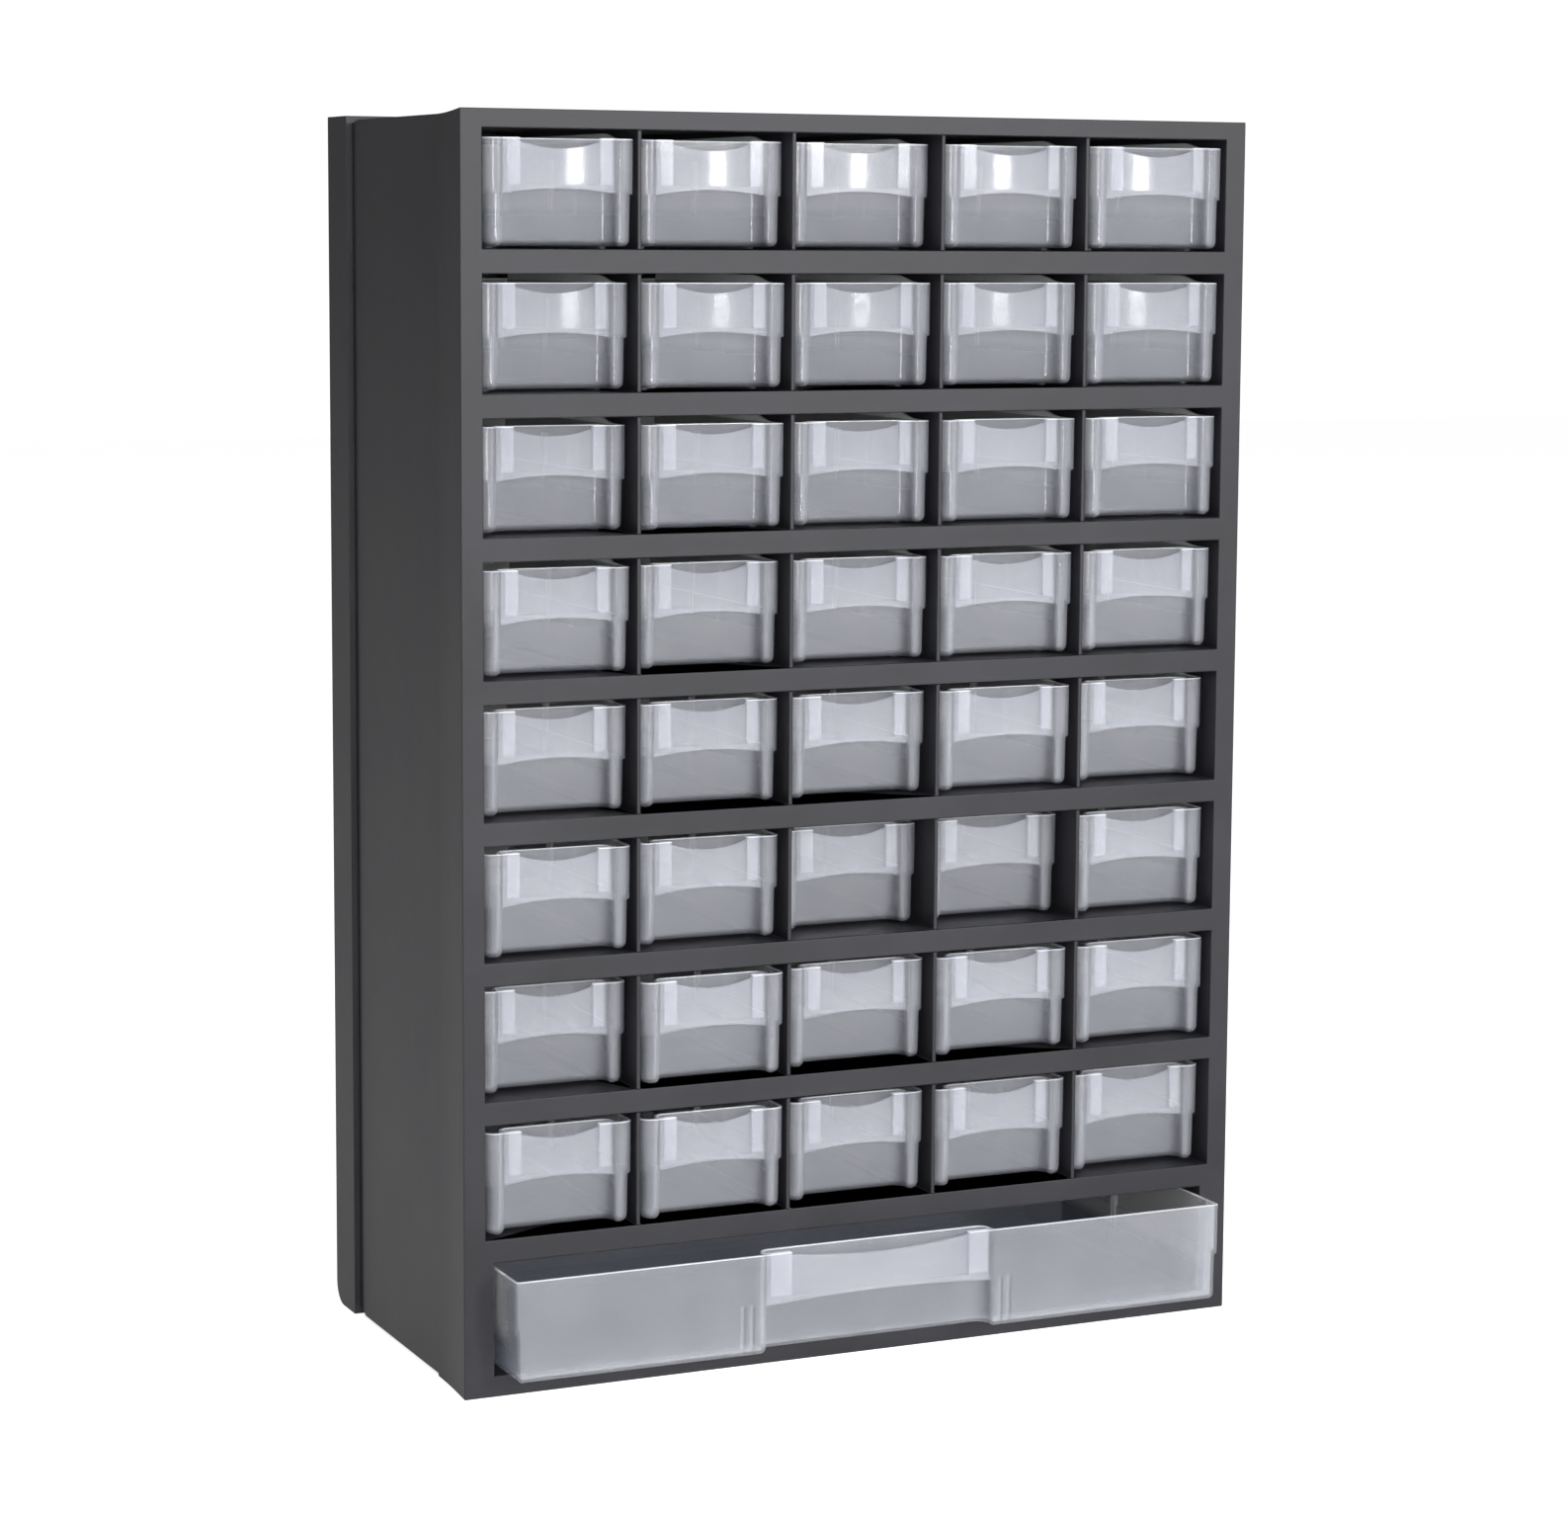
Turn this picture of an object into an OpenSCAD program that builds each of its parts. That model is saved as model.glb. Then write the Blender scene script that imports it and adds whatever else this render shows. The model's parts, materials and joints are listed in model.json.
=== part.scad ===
// Small-parts cabinet.
//
// A black plastic housing holds rows of small translucent drawers above one
// full-width drawer.  X runs to the right, Y from the front to the rear and
// Z up.  The origin is on the floor plane, under the middle of the whole
// cabinet with its large drawer as it rests.  Inside the modules Y is counted
// from the front plane of the housing.  Every drawer slides along Y and is
// drawn where it rests.

/* [Cabinet] */
// Overall width
cabinet_w = 302; // [290:1:330]
// Overall depth, with the back cover
cabinet_d = 140; // [136:1:160]
// Overall height
cabinet_h = 440; // [425:1:470]
// Rows of small drawers
rows = 8; // [2:1:8]
// Small drawers in each row
columns = 5; // [2:1:5]
// How far the front rim and the back cover stand proud of the side panels
rim_proud = 1.5; // [0.5:0.1:2]
// Depth of the flared front rim
front_rim_d = 31; // [15:1:40]
// Depth of the back cover's rim
back_rim_d = 21; // [12:1:30]
// Thickness of the side panels
panel_t = 3; // [2:0.1:3.5]
// Thickness of the back panel
back_t = 2.5; // [1.5:0.1:3.5]

/* [Front frame] */
// Depth of the stiles and bars behind the front plane
frame_d = 8; // [5:0.5:12]
// Width of the stiles beside the small drawers
stile_w = 8; // [7:0.5:12]
// Width of the stiles beside the large drawer
large_stile_w = 11; // [10:0.5:16]
// Height of the bar above the top row
top_bar = 6.4; // [5:0.2:10]
// Height of the bar under the large drawer
base_bar = 7.4; // [6:0.2:10]
// Height of the front bar of each shelf
shelf_bar = 8.2; // [5:0.2:10]
// Thickness of the shelf behind its bar
deck_t = 2; // [1.2:0.1:3]
// Thickness of the upright dividers
divider_t = 1.5; // [1:0.1:2]

/* [Small drawers] */
// Height
drawer_h = 36; // [30:0.5:36]
// Wall thickness
drawer_t = 1.2; // [0.8:0.1:1.4]
// Gap beside the drawer, on each side
side_gap = 0.5; // [0.3:0.1:1]
// How much narrower the lower half is, on each side
step_in = 1; // [0.5:0.1:1]
// Width of each pillar at the front corners
pillar_w = 7.5; // [7.5:0.5:10]
// Radius of the front corners
front_round = 4.5; // [2:0.5:4.5]
// How far the side walls rise behind the front, which keeps a drawer level as it is pulled out
side_rise = 2.4; // [0:0.2:2.6]
// Depth of the finger recess between the pillars
recess_d = 7; // [6:0.5:9]
// Width of each strip that holds a label
strip_w = 5.5; // [3:0.5:7]

/* [Large drawer] */
// Height of the opening for the large drawer
large_open = 39.8; // [38:0.2:44]
// Width of the finger recess and label plate
large_recess_w = 88; // [60:2:120]
// Width of each strip that holds a label
large_strip_w = 9; // [6:0.5:12]
// Gap beside the large drawer, on each side
large_gap = 1.5; // [0.5:0.1:2]

/* [Travel] */
// How far a drawer's front is behind the front plane when it is closed
closed_recess = 15; // [9:1:20]
// Space behind a closed drawer, which leaves room for a screw's head in a keyhole
rear_gap = 4.5; // [2:0.5:8]
// How far the large drawer stands out of the housing at rest
large_pulled = 17; // [0:1:60]

/* [Back cover] */
// Distance between the two keyholes for hanging
keyhole_spacing = 230; // [60:1:240]
// Diameter of the round part of a keyhole
keyhole_head_d = 9; // [7:0.5:10]
// Width of the slot of a keyhole
keyhole_slot_w = 4.5; // [3.5:0.5:5]
// Distance of the keyholes below the top
keyhole_drop = 22; // [18:1:30]

/* [Hidden] */
// Depth behind the front plane at which each small drawer rests, row by row from the top
rest_depths = [[ 0, 5,  7,  3, 0],
               [ 5, 2,  4,  3, 1],
               [ 7, 2,  4,  2, 1],
               [ 3, 6,  5,  3, 3],
               [ 6, 6,  6,  3, 7],
               [ 2, 5, 12, 12, 5],
               [ 7, 0,  5,  3, 3],
               [ 1, 0,  4,  3, 5]];

half_w = cabinet_w / 2;
cell_half_span = half_w - stile_w;
divider_count = columns - 1;
cell_w = (2 * cell_half_span - divider_count * divider_t) / columns;
column_pitch = cell_w + divider_t;
open_h = (cabinet_h - top_bar - base_bar - large_open - rows * shelf_bar) / rows;
row_pitch = open_h + shelf_bar;
// The part of the walls inside the back cover is a little further in than the panels
tail_in = rim_proud + 1;
tail_y = cabinet_d - back_rim_d;
neck_l = 8;
neck_y = tail_y - neck_l;
inner_y = cabinet_d - back_t;
// The foot under the front rim: its rounded front edge and how far it is below the floor panel
foot_round = 2;
foot_h = 1;
cavity_half_w = half_w - rim_proud - panel_t;
cavity_top = cabinet_h - rim_proud - panel_t;
cavity_bottom = foot_h + panel_t;
// Distance from the front plane back to the middle of the whole cabinet
middle_y = (cabinet_d - large_pulled) / 2;
divider_set_back = 0.5;
// A drawer's floor is lifted by runners that clear the shelf
drawer_lift = 1;
runner_gap = 0.2;
runner_w = 2;
corner_round = 1.6;
pillar_round = 2;
recess_fillet = 3;
front_set_back = 0.4;
drawer_l = inner_y - rear_gap - closed_recess;
plate_h = 18.5;
step_z = drawer_h - plate_h;
// Label plate: the Y of its strips' face, its window's face and its back, and the slot for a label
strip_face = 0.1;
plate_face = 1.4;
plate_back = 2.4;
label_slot = 0.5;
label_h = 15.4;
// The window's top edge: how far its ends are below the strips, and its sag between them
window_drop = 1.2;
top_dip = 2.4;
arch_rise = 1.8;
// The ramp of a drawer's side wall: where it starts behind the front, and its length
ramp_y = 13;
ramp_l = 16;
// Ribs that hold a loose partition
rib_t = 0.8;
rib_slot = 1.6;
rib_h = drawer_h - 6;
rib_y = drawer_l * 0.62;
// Ribs inside the large drawer's front wall
brace_t = 1.2;
brace_pitch = 3.5;
brace_from_recess = 5;
// Back cover: the rounding of its lower rear edge, and the height of a keyhole's slot
cover_round = 8;
keyhole_rise = 9;
// Straight steps in a small arc, in the arc of a long edge, and in the flare of the rim
arc_steps = 3;
edge_steps = 12;
flare_steps = 4;
// How far a cutting shape runs past what it cuts, and a joined one runs into its neighbour
cut = 1;

// Name of a small drawer, such as drawer_r1_c2
function drawer_name(row, column) = str("drawer_r", row, "_c", column);

// Height of the shelf that carries a row, counted from the top
function shelf_z(row) = base_bar + large_open + shelf_bar + (rows - row) * row_pitch;

// Middle of a column, counted from the left
function column_x(column) = (column - (columns + 1) / 2) * column_pitch;

function arc_points(x, y, radius, from, to, steps) =
    [for (i = [0:steps]) let (a = from + (to - from) * i / steps)
        [x + radius * cos(a), y + radius * sin(a)]];

function mirrored(points) = [for (i = [len(points) - 1:-1:0]) [-points[i][0], points[i][1]]];

function reversed(points) = [for (i = [len(points) - 1:-1:0]) points[i]];

// How far the sides and top are inside the overall box, from front to rear
side_line = concat(
    [for (i = [0:flare_steps]) [front_rim_d * i / flare_steps, rim_proud * sin(90 * i / flare_steps)]],
    [[neck_y, rim_proud], [tail_y, tail_in], [inner_y, tail_in]]);

// The same for the underside, which stands on a foot at the front
foot_line = concat(
    arc_points(foot_round, foot_round, foot_round, 180, 270, arc_steps),
    [[front_rim_d, 0], [front_rim_d + foot_h, foot_h]],
    [[neck_y, foot_h], [tail_y, tail_in], [inner_y, tail_in]]);

// Moves a piece from the front plane's Y to the cabinet's own origin
module placed() {
    translate([0, -middle_y, 0]) children();
}

// The housing's block, before it is hollowed: its plan and its side view, crossed
module housing_block() {
    right = [for (p = side_line) [half_w - p[1], p[0]]];
    top = [for (p = side_line) [p[0], cabinet_h - p[1]]];
    intersection() {
        linear_extrude(height = cabinet_h) polygon(concat(right, mirrored(right)));
        rotate([90, 0, 90])
            translate([0, 0, -half_w])
                linear_extrude(height = cabinet_w) polygon(concat(top, reversed(foot_line)));
    }
}

// A box given by its lowest and highest corners
module block(low, high) {
    translate(low) cube(high - low);
}

module housing() {
    rail_w = 3;
    rail_x = [-column_pitch * 2, -column_pitch, column_pitch - rail_w, column_pitch * 2 - rail_w];
    placed() color([0.13, 0.13, 0.14]) {
        difference() {
            housing_block();
            // Cells of the small drawers, and the large drawer's mouth
            block([-cell_half_span, -cut, base_bar + large_open],
                  [cell_half_span, frame_d, cabinet_h - top_bar]);
            block([-half_w + large_stile_w, -cut, base_bar],
                  [half_w - large_stile_w, frame_d, base_bar + large_open + cut]);
            // The hollow behind the front frame
            block([-cavity_half_w, frame_d, cavity_bottom], [cavity_half_w, cabinet_d, cavity_top]);
        }
        // Side guides and rails of the large drawer
        for (side = [-1, 1])
            translate([side * (half_w - large_stile_w + divider_t / 2) - divider_t / 2, frame_d - cut,
                       cavity_bottom - cut])
                cube([divider_t, inner_y - frame_d + cut, base_bar + large_open - cavity_bottom + cut]);
        for (x = rail_x)
            block([x, frame_d - cut, cavity_bottom - cut], [x + rail_w, inner_y, base_bar]);
    }
}

module back_cover() {
    profile = concat([[tail_y, 0]],
                     arc_points(cabinet_d - cover_round, cover_round, cover_round, -90, 0, 2 * arc_steps),
                     [[cabinet_d, cabinet_h], [tail_y, cabinet_h]]);
    placed() color([0.13, 0.13, 0.14])
        difference() {
            rotate([90, 0, 90])
                translate([0, 0, -half_w]) linear_extrude(height = cabinet_w) polygon(profile);
            block([-half_w + tail_in, tail_y - cut, tail_in],
                  [half_w - tail_in, inner_y, cabinet_h - tail_in]);
            for (side = [-1, 1])
                translate([side * keyhole_spacing / 2, inner_y - cut, cabinet_h - keyhole_drop]) keyhole();
        }
}

// A keyhole through the back panel: a round hole for a screw's head and a slot above it
module keyhole() {
    depth = back_t + 2 * cut;
    rotate([-90, 0, 0]) cylinder(d = keyhole_head_d, h = depth, $fn = 48);
    translate([-keyhole_slot_w / 2, 0, 0]) cube([keyhole_slot_w, depth, keyhole_rise]);
    translate([0, 0, keyhole_rise]) rotate([-90, 0, 0]) cylinder(d = keyhole_slot_w, h = depth, $fn = 48);
}

// A shelf: a thick bar across the front and a thin deck behind it
module shelf(row) {
    z = shelf_z(row);
    placed() color([0.16, 0.16, 0.17]) {
        block([-cell_half_span, 0, z - shelf_bar], [cell_half_span, frame_d, z]);
        block([-cavity_half_w, frame_d, z - deck_t], [cavity_half_w, inner_y, z]);
    }
}

// One upright plate, seen from the side: lower at the front, where the bar above it is
module divider_plate(front_y, front_h, rear_h) {
    side_view = [[front_y, 0], [inner_y, 0], [inner_y, rear_h], [frame_d, rear_h],
                 [frame_d, front_h], [front_y, front_h]];
    rotate([90, 0, 90]) linear_extrude(height = divider_t) polygon(side_view);
}

// The dividers of a row, with the two side guides behind the stiles
module row_dividers(row) {
    z = shelf_z(row);
    rear_h = row == 1 ? cavity_top - z : row_pitch - deck_t;
    placed() color([0.16, 0.16, 0.17]) {
        for (i = [1:divider_count])
            translate([column_x(i) + cell_w / 2, 0, z]) divider_plate(divider_set_back, open_h, rear_h);
        for (x = [-cell_half_span - divider_t, cell_half_span])
            translate([x, 0, z]) divider_plate(frame_d, rear_h, rear_h);
    }
}

// Right half of a drawer's plan, from the rear corner to the back of the finger recess.
// shape is [half width, half width of the recess, radius of the front corner], front is where
// the pillar's face is, and inset moves the line into the wall.
function drawer_half(shape, front, inset) =
    let (half = shape[0], recess_half = shape[1], corner = shape[2],
         pillar_x = recess_half + pillar_round, fillet_x = recess_half - recess_fillet) concat(
        arc_points(half - corner_round, drawer_l - corner_round, corner_round - inset, 90, 0, arc_steps),
        arc_points(half - corner, front + corner, corner - inset, 0, -90, 2 * arc_steps),
        arc_points(pillar_x, front + pillar_round, pillar_round - inset, 270, 180, arc_steps),
        arc_points(fillet_x, recess_d - recess_fillet, recess_fillet + inset, 0, 90, arc_steps));

// One level of the drawer's solid or hollow, from low to high
module drawer_level(shape, front, inset, low, high) {
    right = drawer_half(shape, front, inset);
    translate([0, 0, low]) linear_extrude(height = high - low) polygon(concat(right, mirrored(right)));
}

// A shallow arc across the label plate, from one side to the other, rise high in the middle
function edge_arc(half, ends_z, rise) = [for (i = [0:edge_steps]) let (t = 2 * i / edge_steps - 1)
    [half * t, ends_z + rise * (1 - t * t)]];

// The plate that bridges the finger recess, with a strip at each side and a ledge for a label
module label_plate(recess_half, strip) {
    reach = recess_half + drawer_t;
    window_half = recess_half - strip;
    right_top = [[reach, drawer_h], [window_half, drawer_h]];
    outline = concat(edge_arc(reach, step_z, arch_rise), right_top,
                     reversed(edge_arc(window_half, drawer_h - window_drop, -top_dip)), mirrored(right_top));
    ledge_z = drawer_h - label_h;
    difference() {
        translate([0, plate_back, 0])
            rotate([90, 0, 0]) linear_extrude(height = plate_back - strip_face) polygon(outline);
        // The window, and the slots behind the strips that hold the label's edges
        block([-window_half, strip_face - cut, ledge_z], [window_half, plate_face, drawer_h + cut]);
        block([-recess_half + drawer_t, plate_face - label_slot, ledge_z],
              [recess_half - drawer_t, plate_face, drawer_h + cut]);
    }
}

// The part of both side walls that stands above the front, with a ramp up to it
module raised_walls(half) {
    side_view = [[ramp_y, drawer_h - cut], [ramp_y, drawer_h], [ramp_y + ramp_l, drawer_h + side_rise],
                 [drawer_l - corner_round, drawer_h + side_rise], [drawer_l - corner_round, drawer_h - cut]];
    for (x = [-half, half - drawer_t])
        translate([x, 0, 0]) rotate([90, 0, 90]) linear_extrude(height = drawer_t) polygon(side_view);
}

// An open-topped drawer with its front at y = 0 and its floor at z = 0
module drawer_tray(width, recess_half, corner, strip) {
    upper = width / 2;
    lower = upper - step_in;
    difference() {
        union() {
            drawer_level([lower, recess_half, corner], front_set_back, 0, 0, step_z + cut);
            drawer_level([upper, recess_half, corner], 0, 0, step_z, drawer_h);
        }
        drawer_level([lower, recess_half, corner], front_set_back, drawer_t, drawer_t, drawer_h + cut);
        drawer_level([upper, recess_half, corner], 0, drawer_t, step_z + drawer_t, drawer_h + cut);
    }
    label_plate(recess_half, strip);
    // Pairs of ribs that hold a loose partition
    for (side = [-1, 1], y = [rib_y, rib_y + rib_t + rib_slot])
        translate([side * (lower - drawer_t) - rib_t, y, drawer_t / 2]) cube([2 * rib_t, rib_t, rib_h]);
    // Runners under the floor
    for (side = [-1, 1])
        translate([side * (lower - 3 * runner_w) - runner_w / 2, 2 * recess_d, runner_gap - drawer_lift])
            cube([runner_w, drawer_l - 3 * recess_d, drawer_lift - runner_gap + drawer_t / 2]);
}

module small_drawer(row, column) {
    half = cell_w / 2 - side_gap;
    placed() color([0.72, 0.75, 0.79, 0.55])
        translate([column_x(column), rest_depths[row - 1][column - 1], shelf_z(row) + drawer_lift]) {
            drawer_tray(2 * half, half - pillar_w, front_round, strip_w);
            raised_walls(half);
        }
}

module large_drawer() {
    width = cabinet_w - 2 * large_stile_w - 2 * large_gap;
    brace_x = large_recess_w / 2 + brace_from_recess;
    placed() color([0.72, 0.75, 0.79, 0.55])
        translate([0, -large_pulled, base_bar + drawer_lift]) {
            drawer_tray(width, large_recess_w / 2, corner_round, large_strip_w);
            // Pairs of stiffening ribs inside the front wall, beside the recess
            for (side = [-1, 1], x = [0, brace_pitch])
                translate([side * (brace_x + x) - brace_t / 2, front_set_back + drawer_t / 2, drawer_t / 2])
                    cube([brace_t, 2 * drawer_t, step_z - drawer_t / 2]);
        }
}

housing();
back_cover();
large_drawer();
for (row = [1:rows]) {
    shelf(row);
    row_dividers(row);
    for (column = [1:columns])
        small_drawer(row, column);
}
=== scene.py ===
import json
import math

import bmesh
import bpy
from mathutils import Matrix, Vector

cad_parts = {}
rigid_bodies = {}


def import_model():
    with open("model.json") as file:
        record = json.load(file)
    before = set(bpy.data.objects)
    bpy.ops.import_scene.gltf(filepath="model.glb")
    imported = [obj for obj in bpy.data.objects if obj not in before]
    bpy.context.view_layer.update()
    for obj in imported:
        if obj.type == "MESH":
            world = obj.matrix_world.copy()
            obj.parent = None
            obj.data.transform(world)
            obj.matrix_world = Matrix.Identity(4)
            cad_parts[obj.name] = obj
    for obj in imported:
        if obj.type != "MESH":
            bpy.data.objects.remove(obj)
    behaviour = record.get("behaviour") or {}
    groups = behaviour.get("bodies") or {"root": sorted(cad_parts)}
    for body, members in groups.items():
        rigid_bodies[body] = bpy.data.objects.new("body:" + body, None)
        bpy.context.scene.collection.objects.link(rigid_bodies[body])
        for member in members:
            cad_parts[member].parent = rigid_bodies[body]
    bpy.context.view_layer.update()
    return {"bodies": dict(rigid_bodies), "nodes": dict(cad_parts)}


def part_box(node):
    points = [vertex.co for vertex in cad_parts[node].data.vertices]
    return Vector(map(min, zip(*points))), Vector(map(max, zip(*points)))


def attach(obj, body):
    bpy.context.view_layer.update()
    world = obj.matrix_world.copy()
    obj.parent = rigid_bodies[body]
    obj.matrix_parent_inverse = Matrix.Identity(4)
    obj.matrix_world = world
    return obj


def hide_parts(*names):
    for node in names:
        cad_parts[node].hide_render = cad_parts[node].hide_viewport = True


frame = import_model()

# Sizes in millimetres; meshes are scaled to metres when they are made.
MM = 0.001

# Front frame of the cabinet, as its CAD nodes have it
RIM_PROUD = 1.5
RIM_DEPTH = 31.0
FOOT_DROP = 1.0
TAIL_IN = 2.5
NECK = 8.0
BACK_RIM = 21.0
BACK_PANEL = 2.5
FRAME_DEPTH = 8.0
DIVIDER = 1.5
DIVIDER_SET_BACK = 0.5
STILE = 8.0
LARGE_STILE = 11.0
TOP_BAR = 6.4
BASE_BAR = 7.4
DECK = 2.0
LARGE_OPENING = 39.8
# How much further the hollow reaches behind the top bar and behind the bar under the large drawer
TOP_HOLLOW = 1.5
FLOOR_HOLLOW = 3.4

# Drawers
LENGTH = 118.0
HEIGHT = 36.0
WALL = 1.2
STEP_IN = 1.0
STEP_Z = 17.5
SET_BACK = 0.4
RECESS = 7.0
CORNER = 1.6
FRONT_CORNER = 4.5
PILLAR = 7.5
PILLAR_ROUND = 2.0
FILLET = 3.0
FLOOR_ROUND = 2.4
RUNNER_LIFT = 0.8
RAMP_START = 13.0
RAMP_LENGTH = 16.0
SIDE_RISE = 2.4
# Height of the top band that takes the second material, the painted edge light
LIP = 0.35
ARC = 6

# Label plates, their depths behind a drawer's front and the shapes of their edges
STRIP_FACE = 0.1
WINDOW_FACE = 1.4
PLATE_BACK = 2.4
PLATE_JOIN = 0.7
SLOT_DEPTH = 0.5
LABEL_HEIGHT = 15.4
WINDOW_DROP = 1.2
TOP_SAG = 2.4
ARCH_RISE = 1.8
WINDOW_BOW = 0.9
WINDOW_LEAN = 0.3
SMALL_STRIP = 5.5

# Large drawer, with the distances of its two braces from the recess
LARGE_RECESS_HALF = 44.0
LARGE_STRIP = 9.0
BRACES = (5.0, 8.5)

# In metres: where a drawer's polished front turns into its frosted body, counted from its front, and
# where the body's painted shade low down turns into its painted light higher up, counted from its floor
FROST_START, FROST_END = 8 * MM, 16 * MM
PAINTED_SHADE_START, PAINTED_SHADE_END = 10 * MM, 14 * MM


# ---------------------------------------------------------------- mesh tools

def new_object(name, mesh):
    piece = bpy.data.objects.new(name, mesh)
    bpy.context.scene.collection.objects.link(piece)
    return piece


def mesh_from(name, points, faces):
    """A mesh from points in millimetres."""
    mesh = bpy.data.meshes.new(name)
    mesh.from_pydata([Vector(p) * MM for p in points], [], faces)
    mesh.validate()
    mesh.update()
    return mesh


def loft(name, rings):
    """A closed solid through rings of equal count, each a list of 3D points, capped at both ends."""
    count = len(rings[0])
    points = [p for ring in rings for p in ring]
    faces = []
    for level in range(len(rings) - 1):
        low, high = level * count, (level + 1) * count
        for i in range(count):
            j = (i + 1) % count
            faces.append((low + i, low + j, high + j, high + i))
    faces.append(tuple(reversed(range(count))))
    faces.append(tuple(range((len(rings) - 1) * count, len(rings) * count)))
    mesh = mesh_from(name, points, faces)
    tidy = bmesh.new()
    tidy.from_mesh(mesh)
    bmesh.ops.recalc_face_normals(tidy, faces=tidy.faces)
    tidy.to_mesh(mesh)
    tidy.free()
    return mesh


def boxes(name, corners):
    """One mesh of boxes, each given by its lowest and highest corners in millimetres."""
    points, faces = [], []
    for low, high in corners:
        first = len(points)
        for z in (low[2], high[2]):
            points += [(low[0], low[1], z), (high[0], low[1], z), (high[0], high[1], z), (low[0], high[1], z)]
        for face in ((3, 2, 1, 0), (4, 5, 6, 7), (0, 1, 5, 4), (1, 2, 6, 5), (2, 3, 7, 6), (3, 0, 4, 7)):
            faces.append(tuple(first + i for i in face))
    return mesh_from(name, points, faces)


def carve(mesh, tool, operation):
    """mesh with tool joined to it or cut from it, as a new mesh."""
    piece = new_object("work", mesh)
    other = new_object("tool", tool)
    step = piece.modifiers.new("combine", "BOOLEAN")
    step.operation = operation
    step.solver = "EXACT"
    step.use_self = True
    step.object = other
    result = bpy.data.meshes.new_from_object(piece.evaluated_get(bpy.context.evaluated_depsgraph_get()))
    bpy.data.objects.remove(piece)
    bpy.data.objects.remove(other)
    return result


def rounded(mesh, width, segments=2, angle=32.0, materials=()):
    """mesh with its flat faces merged and its sharp edges rounded, width in millimetres.

    Where two materials are given, the rounded edges take the second one."""
    work = bmesh.new()
    work.from_mesh(mesh)
    bmesh.ops.remove_doubles(work, verts=work.verts, dist=0.002 * MM)
    bmesh.ops.dissolve_limit(work, angle_limit=math.radians(0.5), verts=work.verts, edges=work.edges)
    work.to_mesh(mesh)
    work.free()
    mesh.materials.clear()
    for material in materials:
        mesh.materials.append(material)
    piece = new_object("work", mesh)
    step = piece.modifiers.new("round", "BEVEL")
    step.width = width * MM
    step.segments = segments
    step.limit_method = "ANGLE"
    step.angle_limit = math.radians(angle)
    step.use_clamp_overlap = True
    if len(materials) > 1:
        step.material = 1
    result = bpy.data.meshes.new_from_object(piece.evaluated_get(bpy.context.evaluated_depsgraph_get()))
    bpy.data.objects.remove(piece)
    return result


def lip(mesh, height):
    """Gives everything above height, in millimetres, the mesh's second material."""
    work = bmesh.new()
    work.from_mesh(mesh)
    everything = work.verts[:] + work.edges[:] + work.faces[:]
    level = (0, 0, height * MM)
    bmesh.ops.bisect_plane(work, geom=everything, dist=0.001 * MM, plane_co=level, plane_no=(0, 0, 1))
    for face in work.faces:
        lowest = min(v.co.z for v in face.verts)
        if lowest > (height - 0.01) * MM:
            face.material_index = 1
    work.to_mesh(mesh)
    work.free()
    return mesh


def smooth(mesh, angle=38.0):
    """mesh with smooth shading that leaves broad faces flat and edges sharper than angle sharp."""
    work = bmesh.new()
    work.from_mesh(mesh)
    limit = math.radians(angle)
    for face in work.faces:
        face.smooth = True
    for edge in work.edges:
        edge.smooth = edge.calc_face_angle(0.0) < limit
    work.to_mesh(mesh)
    work.free()
    piece = new_object("work", mesh)
    piece.modifiers.new("shade", "WEIGHTED_NORMAL").keep_sharp = True
    result = bpy.data.meshes.new_from_object(piece.evaluated_get(bpy.context.evaluated_depsgraph_get()))
    bpy.data.objects.remove(piece)
    return result


def arc(x, y, radius, start, end, steps=ARC):
    angles = [math.radians(start + (end - start) * i / steps) for i in range(steps + 1)]
    return [(x + radius * math.cos(a), y + radius * math.sin(a)) for a in angles]


# ---------------------------------------------------------------- drawers

def drawer_outline(half, recess_half, corner, front, inset):
    """A drawer's plan, moved inwards by inset: the rear corner, the pillar and the finger recess."""
    rear = max(CORNER, inset + 0.1)
    pillar = max(PILLAR_ROUND, inset + 0.1)
    corner = max(min(corner, half - recess_half - pillar - 0.05), inset + 0.1)
    right = arc(half - rear, LENGTH - rear, rear - inset, 90, 0)
    right += arc(half - corner, front + corner, corner - inset, 0, -90, 2 * ARC)
    right += arc(recess_half + pillar, front + pillar, pillar - inset, 270, 180)
    right += arc(recess_half - FILLET, RECESS - FILLET, FILLET + inset, 0, 90)
    return right + [(-x, y) for x, y in reversed(right)]


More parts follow.
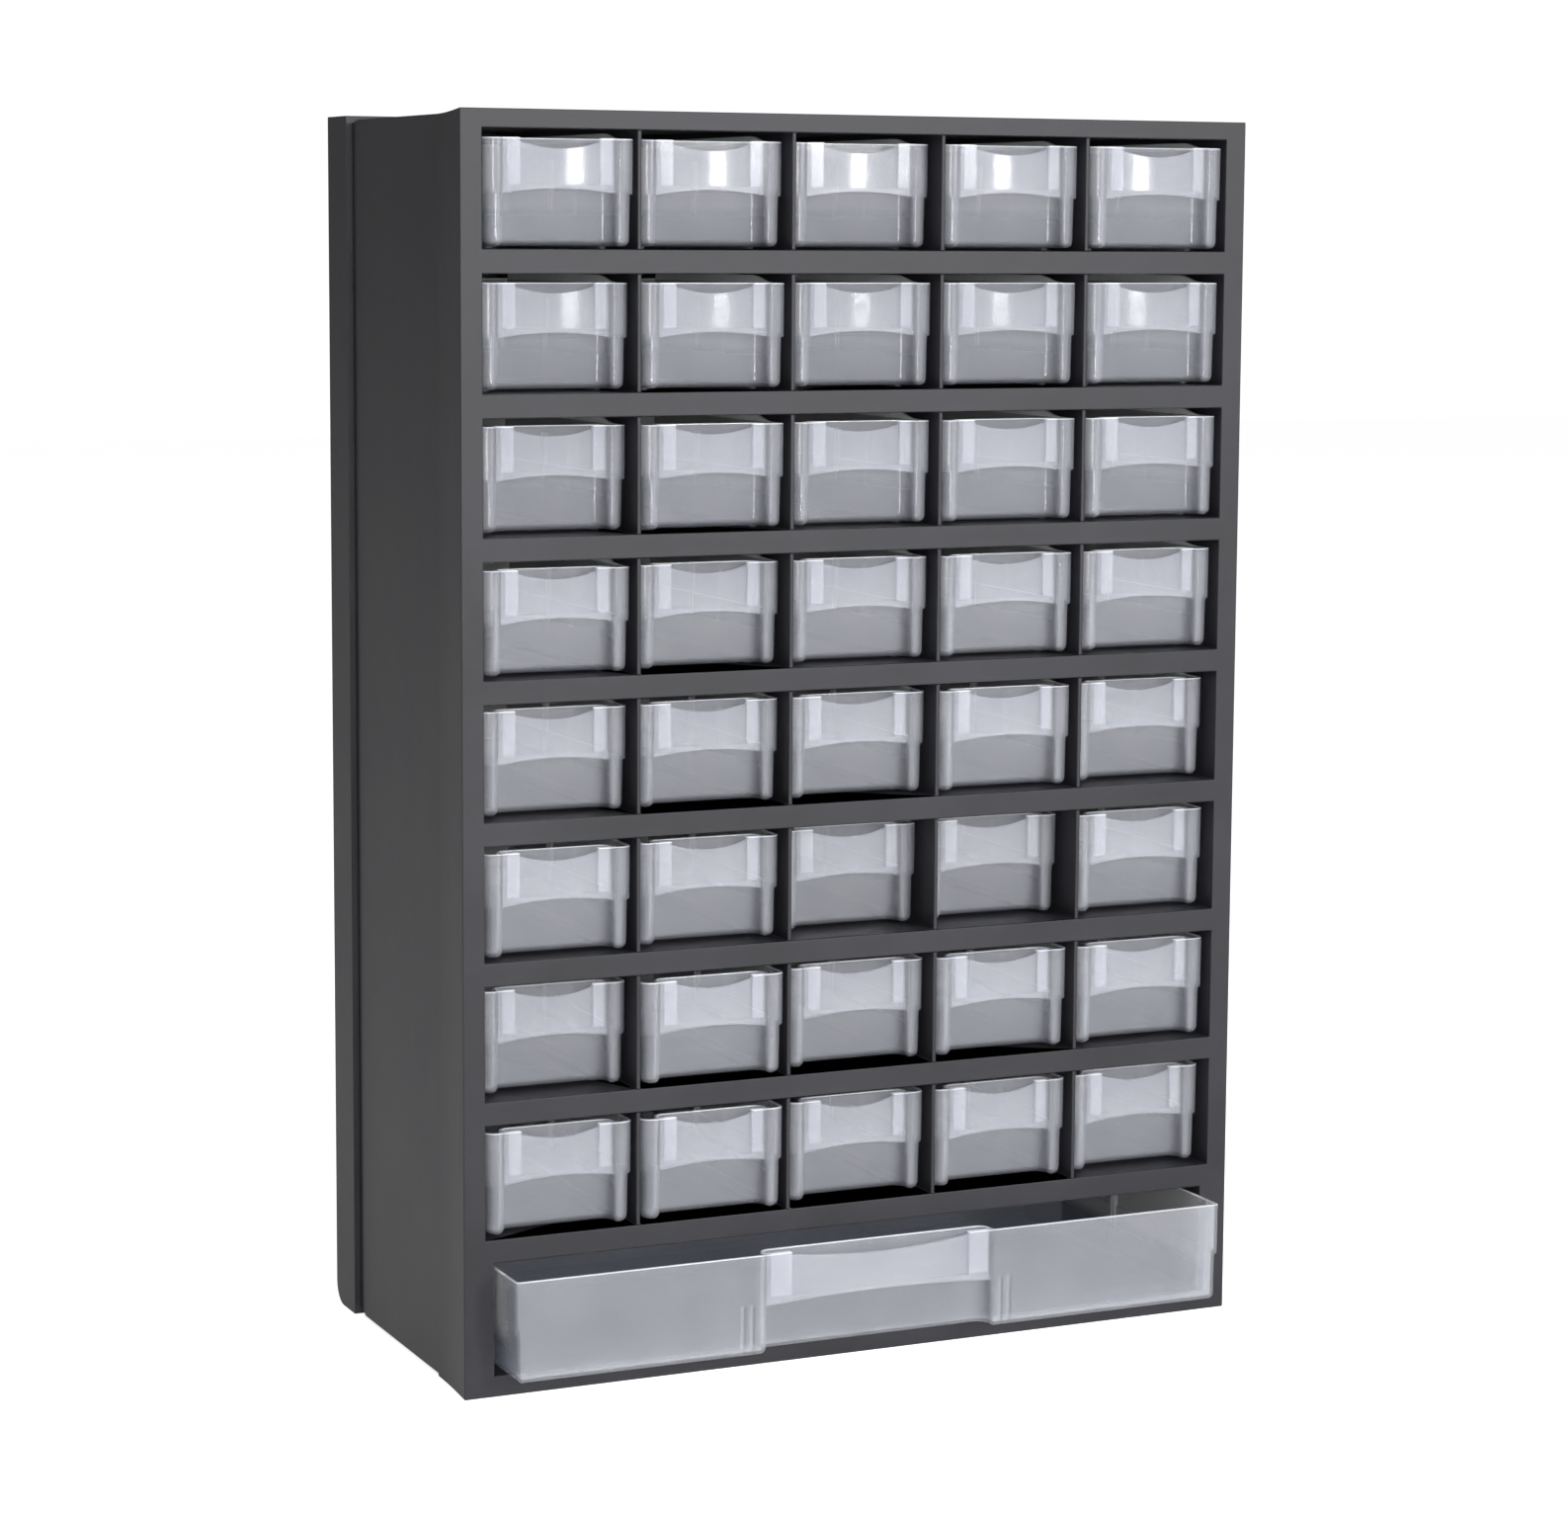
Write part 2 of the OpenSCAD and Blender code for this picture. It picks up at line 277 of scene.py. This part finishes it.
def drawer_shell(half, recess_half, corner):
    """The walls and floor: outside from the floor up, over the lip, and down the inside."""
    lower = half - STEP_IN
    draft = 0.22
    floor_steps = 5
    # The lip's rounding with its middle point, and the height and slant of the step
    edge, shoulder = 0.35, 0.1
    step_height, slant = 0.1, 0.12
    rings = []

    def ring(half_width, front, inset, z):
        rings.append([(x, y, z) for x, y in drawer_outline(half_width, recess_half, corner, front, inset)])

    for i in range(floor_steps + 1):
        turn = math.radians(90 * i / floor_steps)
        ring(lower, SET_BACK, draft + FLOOR_ROUND * (1 - math.sin(turn)), FLOOR_ROUND * (1 - math.cos(turn)))
    ring(lower, SET_BACK, 0.0, STEP_Z - step_height)
    ring(half, 0.0, slant, STEP_Z)
    ring(half, 0.0, 0.0, HEIGHT - edge)
    ring(half, 0.0, shoulder, HEIGHT - shoulder)
    ring(half, 0.0, edge, HEIGHT)
    ring(half, 0.0, WALL - edge, HEIGHT)
    ring(half, 0.0, WALL - shoulder, HEIGHT - shoulder)
    ring(half, 0.0, WALL, HEIGHT - edge)
    ring(half, 0.0, WALL + slant, STEP_Z + WALL)
    ring(lower, SET_BACK, WALL, STEP_Z + WALL - step_height)
    inner_round = FLOOR_ROUND - WALL
    for i in range(floor_steps, -1, -1):
        turn = math.radians(90 * i / floor_steps)
        ring(lower, SET_BACK, WALL + draft + inner_round * (1 - math.sin(turn)),
             WALL + inner_round * (1 - math.cos(turn)))
    return loft("drawer_shell", rings)


def label_plate(recess_half, strip):
    """The plate that bridges the finger recess: a slightly bowed window between two strips, over a ledge."""
    reach = recess_half + PLATE_JOIN
    window = recess_half - strip
    ledge = HEIGHT - LABEL_HEIGHT
    steps = 24
    across = [2 * i / steps - 1 for i in range(steps + 1)]
    lower = [(reach * t, STEP_Z + ARCH_RISE * (1 - t * t)) for t in across]
    upper = [(window * t, HEIGHT - WINDOW_DROP - TOP_SAG * (1 - t * t)) for t in reversed(across)]
    edge = lower + [(reach, HEIGHT), (window, HEIGHT)] + upper + [(-window, HEIGHT), (-reach, HEIGHT)]
    plate = loft("label_plate", [[(x, y, z) for x, z in edge] for y in (STRIP_FACE, PLATE_BACK)])
    bowed = [(-window, -1.0), (window, -1.0)]
    bowed += [(window * t, WINDOW_FACE - WINDOW_BOW * (1 - t * t)) for t in reversed(across)]
    leans = ((-WINDOW_LEAN, ledge), (WINDOW_LEAN, HEIGHT + 1))
    opening = loft("opening", [[(x, y + back, z) for x, y in bowed] for back, z in leans])
    slot_end = recess_half - WALL
    slot_front = WINDOW_FACE - SLOT_DEPTH
    slots = boxes("slots", [((-slot_end, slot_front, ledge), (-window + 0.1, WINDOW_FACE, HEIGHT + 1)),
                            ((window - 0.1, slot_front, ledge), (slot_end, WINDOW_FACE, HEIGHT + 1))])
    return carve(carve(plate, opening, "DIFFERENCE"), slots, "DIFFERENCE")


def raised_walls(half):
    """The part of the side walls that stands above the front, with a ramp up to it."""
    low = HEIGHT - 0.6
    top = HEIGHT + SIDE_RISE
    rear = LENGTH - CORNER
    chamfer = 1.2
    steps = 8
    ramp = []
    for i in range(steps + 1):
        t = i / steps
        ramp.append((RAMP_START + RAMP_LENGTH * t, HEIGHT + SIDE_RISE * (1 - math.cos(math.pi * t)) / 2))
    side = [(RAMP_START, low)] + ramp + [(rear - chamfer, top), (rear, top - chamfer), (rear, low)]
    solids = []
    for x in (-half + 0.05, half - WALL + 0.05):
        solids.append(loft("wall", [[(x, y, z) for y, z in side], [(x + WALL - 0.1, y, z) for y, z in side]]))
    return solids


def drawer_mesh(width, recess_half, corner, strip, materials, braces=(), raised=False):
    """A whole drawer with its front at y = 0 and its floor at z = 0."""
    half = width / 2
    lower = half - STEP_IN
    rib, slot, rib_y, rib_top = 0.8, 1.6, LENGTH * 0.62, HEIGHT - 6
    runner, runner_in = 1, 6
    brace = 0.6
    brace_front, brace_rear = SET_BACK + WALL / 2, SET_BACK + 2.5 * WALL
    details = []
    for side in (-1, 1):
        for y in (rib_y, rib_y + rib + slot):
            x = side * (lower - WALL)
            details.append(((x - rib, y, WALL / 2), (x + rib, y + rib, rib_top)))
        x = side * (lower - runner_in)
        details.append(((x - runner, 2 * RECESS, -RUNNER_LIFT), (x + runner, LENGTH - RECESS, WALL / 2)))
        for offset in braces:
            x = side * (recess_half + offset)
            details.append(((x - brace, brace_front, WALL / 2), (x + brace, brace_rear, STEP_Z)))
    mesh = carve(drawer_shell(half, recess_half, corner), label_plate(recess_half, strip), "UNION")
    if raised:
        for wall in raised_walls(half):
            mesh = carve(mesh, wall, "UNION")
    mesh = carve(mesh, boxes("details", details), "UNION")
    # The rounded edges and everything above the lip take the second material: painted light on the rims,
    # edges and raised walls
    return smooth(lip(rounded(mesh, 0.22, 2, 40.0, materials), HEIGHT - LIP))


def place_drawer(name, mesh, body):
    """Puts a drawer's mesh where its CAD node is, on runners that clear the shelf."""
    low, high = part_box(name)
    piece = new_object(name + "_moulding", mesh)
    piece.location = ((low.x + high.x) / 2, low.y, low.z + RUNNER_LIFT * MM)
    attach(piece, body)
    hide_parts(name)


# ---------------------------------------------------------------- cabinet

def cabinet_levels(front, depth):
    """Distances of the moulding's skin inside its overall box: (y, at the sides and top, underneath)."""
    levels = []
    steps = 10
    for i in range(steps + 1):
        t = i / steps
        levels.append((RIM_DEPTH * t, RIM_PROUD * math.sin(math.pi / 2 * t), 0.0))
    levels.append((RIM_DEPTH + 0.5, RIM_PROUD, FOOT_DROP))
    tail = depth - BACK_RIM
    levels.append((tail - NECK, RIM_PROUD, FOOT_DROP))
    levels.append((tail - NECK / 2, (RIM_PROUD + TAIL_IN) / 2, (FOOT_DROP + TAIL_IN) / 2))
    levels.append((tail, TAIL_IN, TAIL_IN))
    levels.append((depth - BACK_PANEL, TAIL_IN, TAIL_IN))
    return [(front + y, side, under) for y, side, under in levels]


def cabinet_mesh():
    """The black moulding: a flared sleeve with its bars, shelves and dividers, carved from one block."""
    low, high = (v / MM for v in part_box("housing"))
    cover_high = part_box("back_cover")[1].y / MM
    front, depth, half, top = low.y, cover_high - low.y, high.x, high.z
    rings = []
    for y, side, under in cabinet_levels(front, depth):
        x, z0, z1 = half - side, under, top - side
        rings.append([(x, y, z0), (x, y, z1), (-x, y, z1), (-x, y, z0)])
    block = loft("cabinet", rings)

    rows = sum(1 for name in frame["nodes"] if name.startswith("shelf_"))
    columns = sum(1 for name in frame["nodes"] if name.startswith("drawer_r1_"))
    span = half - STILE
    cell = (2 * span - (columns - 1) * DIVIDER) / columns
    shelf_tops = [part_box("shelf_%d" % row)[1].z / MM for row in range(rows, 0, -1)]
    opening = top - TOP_BAR - shelf_tops[-1]
    rear = front + depth - BACK_PANEL + 1
    before = front - 1
    cuts = []
    for i, floor in enumerate(shelf_tops):
        ceiling = floor + opening
        inner = shelf_tops[i + 1] - DECK if i + 1 < rows else ceiling + TOP_HOLLOW
        cuts.append(((-span, before, floor), (span, front + DIVIDER_SET_BACK, ceiling)))
        for column in range(columns):
            x = -span + column * (cell + DIVIDER)
            cuts.append(((x, before, floor), (x + cell, front + FRAME_DEPTH, ceiling)))
            cuts.append(((x, front + FRAME_DEPTH - 0.01, floor), (x + cell, rear, inner)))
    mouth = half - LARGE_STILE
    large_top = shelf_tops[0] - DECK
    cuts.append(((-mouth, before, BASE_BAR), (mouth, front + FRAME_DEPTH, BASE_BAR + LARGE_OPENING)))
    cuts.append(((-mouth, front + FRAME_DEPTH - 0.01, BASE_BAR - FLOOR_HOLLOW), (mouth, rear, large_top)))
    return smooth(rounded(carve(block, boxes("cells", cuts), "DIFFERENCE"), 0.45, 3, 30.0, (black,)))


def softened(node, width):
    """A copy of a CAD node's mesh with rounded edges."""
    return smooth(rounded(frame["nodes"][node].data.copy(), width, 3, 25.0, (black,)))


# ---------------------------------------------------------------- materials

def new_material(name):
    material = bpy.data.materials.new(name)
    material.use_nodes = True
    tree = material.node_tree
    shader = tree.nodes["Principled BSDF"]
    return material, tree, shader


def noise(tree, scale, detail=3.0, roughness=0.5):
    coordinates = tree.nodes.new("ShaderNodeTexCoord")
    texture = tree.nodes.new("ShaderNodeTexNoise")
    texture.inputs["Scale"].default_value = scale
    texture.inputs["Detail"].default_value = detail
    texture.inputs["Roughness"].default_value = roughness
    tree.links.new(coordinates.outputs["Object"], texture.inputs["Vector"])
    return texture


def ramp(tree, source, low, high, colours):
    node = tree.nodes.new("ShaderNodeValToRGB")
    node.color_ramp.elements[0].position = low
    node.color_ramp.elements[1].position = high
    for element, colour in zip(node.color_ramp.elements, colours):
        element.color = (*colour, 1.0)
    tree.links.new(source, node.inputs["Fac"])
    return node


def spread(tree, source, low, high, start=0.0, end=1.0):
    """source's range from start to end, mapped to low to high. Both may be numbers or sockets."""
    node = tree.nodes.new("ShaderNodeMapRange")
    node.inputs["From Min"].default_value = start
    node.inputs["From Max"].default_value = end
    for name, value in (("To Min", low), ("To Max", high)):
        if isinstance(value, float):
            node.inputs[name].default_value = value
        else:
            tree.links.new(value, node.inputs[name])
    tree.links.new(source, node.inputs["Value"])
    return node.outputs["Result"]


def bump(tree, height, distance, strength, before=None):
    node = tree.nodes.new("ShaderNodeBump")
    node.inputs["Distance"].default_value = distance
    node.inputs["Strength"].default_value = strength
    tree.links.new(height, node.inputs["Height"])
    if before is not None:
        tree.links.new(before, node.inputs["Normal"])
    return node.outputs["Normal"]


def housing_material():
    """Fine-grained black polystyrene, slightly mottled, with a soft sheen."""
    material, tree, shader = new_material("black_moulded_plastic")
    mottle = noise(tree, 22.0, 4.0, 0.6)
    colour = ramp(tree, mottle.outputs["Fac"], 0.3, 0.7, [(0.011, 0.011, 0.014), (0.019, 0.019, 0.024)])
    tree.links.new(colour.outputs["Color"], shader.inputs["Base Color"])
    tree.links.new(spread(tree, mottle.outputs["Fac"], 0.4, 0.52), shader.inputs["Roughness"])
    shader.inputs["Specular IOR Level"].default_value = 0.35
    grain = noise(tree, 2200.0, 2.0, 0.6)
    waves = noise(tree, 60.0, 2.0, 0.4)
    wavy = bump(tree, waves.outputs["Fac"], 0.0006, 0.25)
    tree.links.new(bump(tree, grain.outputs["Fac"], 0.0001, 0.35, wavy), shader.inputs["Normal"])
    return material


def drawer_material(name, tint, haze, body_haze, roughness, clear):
    """Translucent polypropylene, polished at the front and frosted behind it.

    Haze is the share of the light that a surface doesn't let straight through, lower near the
    body's floor. Clear is the part of that share that it bends as glass does."""
    material, tree, shader = new_material(name)
    # The body's colour is painted light and shade: a bluish painted shade low down and a cream painted light
    # higher up, where the side walls would catch the light; the body is also made clearer low down, which
    # darkens it further
    painted_shade_and_light_tints = [(0.56, 0.61, 0.73), (0.84, 0.84, 0.83)]
    cloud = noise(tree, 45.0, 3.0, 0.5)
    place = tree.nodes.new("ShaderNodeSeparateXYZ")
    tree.links.new(tree.nodes.new("ShaderNodeTexCoord").outputs["Object"], place.inputs["Vector"])
    level = spread(tree, place.outputs["Z"], *body_haze, PAINTED_SHADE_START, PAINTED_SHADE_END)
    front = spread(tree, cloud.outputs["Fac"], *haze)
    paler = tuple(1 - 0.8 * (1 - v) for v in tint)
    colour = tree.nodes.new("ShaderNodeMix")
    colour.data_type = "RGBA"
    frosting = spread(tree, place.outputs["Y"], 0.0, 1.0, FROST_START, FROST_END)
    tree.links.new(frosting, colour.inputs["Factor"])
    outside = ramp(tree, cloud.outputs["Fac"], 0.3, 0.7, [tint, paler])
    # painted shade low on the body, painted light above it
    inside = ramp(tree, place.outputs["Z"], PAINTED_SHADE_START, PAINTED_SHADE_END, painted_shade_and_light_tints)
    tree.links.new(outside.outputs["Color"], colour.inputs["A"])
    tree.links.new(inside.outputs["Color"], colour.inputs["B"])
    tree.links.new(colour.outputs["Result"], shader.inputs["Base Color"])
    polish = spread(tree, cloud.outputs["Fac"], *roughness)
    gloss = spread(tree, place.outputs["Y"], polish, 0.4, FROST_START, FROST_END)
    hiding = spread(tree, place.outputs["Y"], front, level, FROST_START, FROST_END)
    tree.links.new(gloss, shader.inputs["Roughness"])
    tree.links.new(hiding, shader.inputs["Alpha"])
    shader.inputs["IOR"].default_value = 1.49
    shader.inputs["Transmission Weight"].default_value = clear
    waves = noise(tree, 110.0, 2.0, 0.4)
    tree.links.new(bump(tree, waves.outputs["Fac"], 0.0002, 0.15), shader.inputs["Normal"])
    return material


# ---------------------------------------------------------------- build

black = housing_material()
frosted = drawer_material("frosted_polypropylene", (0.76, 0.78, 0.86),
                          haze=(0.3, 0.38), body_haze=(0.25, 0.5), roughness=(0.09, 0.14), clear=0.62)
# A paler, hazier and less clear copy of the same plastic: painted light on the rims, rounded edges and raised
# side walls
painted_edge_light = drawer_material("polypropylene_painted_edge_light", (0.86, 0.88, 0.95),
                            haze=(0.5, 0.6), body_haze=(0.75, 0.95), roughness=(0.1, 0.18), clear=0.1)

cabinet = new_object("cabinet_moulding", cabinet_mesh())
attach(cabinet, "cabinet")
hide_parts(*[n for n in frame["nodes"] if n == "housing" or n.startswith(("shelf_", "row_"))])

cover = new_object("back_cover_moulding", softened("back_cover", 0.8))
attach(cover, "cabinet")
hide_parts("back_cover")

small_low, small_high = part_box("drawer_r1_c1")
small_width = (small_high.x - small_low.x) / MM
plastics = (frosted, painted_edge_light)
small_recess = small_width / 2 - PILLAR
small_drawer = drawer_mesh(small_width, small_recess, FRONT_CORNER, SMALL_STRIP, plastics, raised=True)
for body in frame["bodies"]:
    if body.startswith("drawer_r"):
        place_drawer(body, small_drawer, body)

large_low, large_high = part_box("large_drawer")
large_width = (large_high.x - large_low.x) / MM
large_drawer = drawer_mesh(large_width, LARGE_RECESS_HALF, CORNER, LARGE_STRIP, plastics, BRACES)
place_drawer("large_drawer", large_drawer, "large_drawer")


# ---------------------------------------------------------------- stage

def camera():
    """The photograph's view, with turn, tilt and roll in radians."""
    data = bpy.data.cameras.new("camera")
    data.sensor_width = 36.0
    data.lens = 90.0
    data.shift_y = -0.03
    data.dof.use_dof = False
    eye = new_object("camera", data)
    turn, tilt, roll = 0.4296, -0.1216, 0.0059
    ahead = Vector((math.sin(turn) * math.cos(tilt), math.cos(turn) * math.cos(tilt), math.sin(tilt)))
    right = ahead.cross(Vector((0, 0, 1))).normalized()
    up = right.cross(ahead)
    rolled_right = right * math.cos(roll) + up * math.sin(roll)
    rolled_up = up * math.cos(roll) - right * math.sin(roll)
    rotation = Matrix((rolled_right, rolled_up, -ahead)).transposed().to_4x4()
    eye.matrix_world = Matrix.Translation(Vector((-0.5978, -1.2971, 0.3999))) @ rotation
    bpy.context.scene.camera = eye


def area_light(name, place, target, size, power):
    data = bpy.data.lights.new(name, "AREA")
    data.shape = "RECTANGLE"
    data.size, data.size_y = size
    data.energy = power
    lamp = new_object(name, data)
    lamp.location = place
    lamp.rotation_mode = "QUATERNION"
    lamp.rotation_quaternion = (Vector(target) - Vector(place)).to_track_quat("-Z", "Y")


def seen_or_lit(tree, seen, lit):
    """A strength for the backdrop: seen where it shows directly, lit where it lights the object."""
    return spread(tree, tree.nodes.new("ShaderNodeLightPath").outputs["Is Camera Ray"], lit, seen)


def floor():
    material, tree, shader = new_material("pale_floor")
    shader.inputs["Base Color"].default_value = (0.9, 0.9, 0.9, 1.0)
    shader.inputs["Roughness"].default_value = 0.9
    shader.inputs["Specular IOR Level"].default_value = 0.1
    shader.inputs["Emission Color"].default_value = (1.0, 1.0, 1.0, 1.0)
    tree.links.new(seen_or_lit(tree, 0.8, 0.35), shader.inputs["Emission Strength"])
    plane = boxes("floor", [((-6000, -6000, -20), (6000, 6000, 0))])
    ground = new_object("floor", plane)
    ground.data.materials.append(material)


def world():
    """A dim studio that looks white behind the object."""
    sky = bpy.data.worlds.new("studio")
    sky.use_nodes = True
    tree = sky.node_tree
    background = tree.nodes["Background"]
    background.inputs["Color"].default_value = (1.0, 1.0, 1.0, 1.0)
    tree.links.new(seen_or_lit(tree, 1.05, 0.2), background.inputs["Strength"])
    bpy.context.scene.world = sky


camera()
floor()
world()
area_light("key", (1.20, -2.65, 0.98), (0, 0, 0.45), (0.32, 0.95), 52)
area_light("overhead", (0, -0.9, 1.8), (0, -0.2, 0), (1.6, 1.4), 18)
area_light("front", (-0.42, -2.2, 0.5), (0, 0, 0.25), (0.7, 0.9), 30)
bpy.context.scene.view_settings.view_transform = "Standard"
